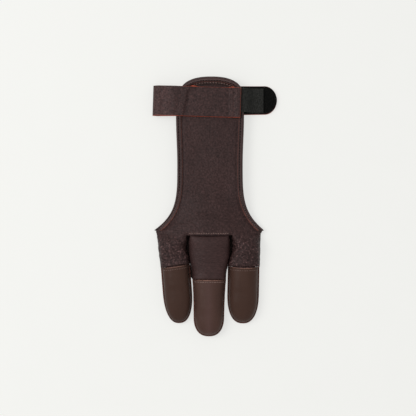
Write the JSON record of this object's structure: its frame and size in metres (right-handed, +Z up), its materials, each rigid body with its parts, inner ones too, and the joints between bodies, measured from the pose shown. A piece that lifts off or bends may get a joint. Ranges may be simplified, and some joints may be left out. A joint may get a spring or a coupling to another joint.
{
  "type": "archery glove",
  "caption": "Leather shooting glove for the string fingers, with closed finger stalls, a back strip and a wrist strap.",
  "frame": {"origin": "middle of the footprint, on the surface that the glove lies on palm down", "axes": "+X across the fingers towards the closure tab, +Y from the fingertips to the wrist, +Z up out of the back of the hand"},
  "size_m": [0.1052, 0.2188, 0.0165],
  "materials": {
    "pebbled_leather": "pebbled grain, soft satin",
    "fine_leather": "fine grain, matt satin",
    "stall_leather": "smooth, satin",
    "elastic_webbing": "ribbed weave, matt",
    "hook_and_loop": "fuzzy loops, matt"
  },
  "bodies": {
    "root": {"back_panel": "pebbled_leather", "middle_finger_back": "fine_leather", "palm_panel": "fine_leather", "ring_stall": "stall_leather", "middle_stall": "stall_leather", "index_stall": "stall_leather", "panel_binding": "pebbled_leather", "wrist_strap": "pebbled_leather", "closure_patch": "hook_and_loop", "closure_webbing": "elastic_webbing"}
  },
  "joints": []
}
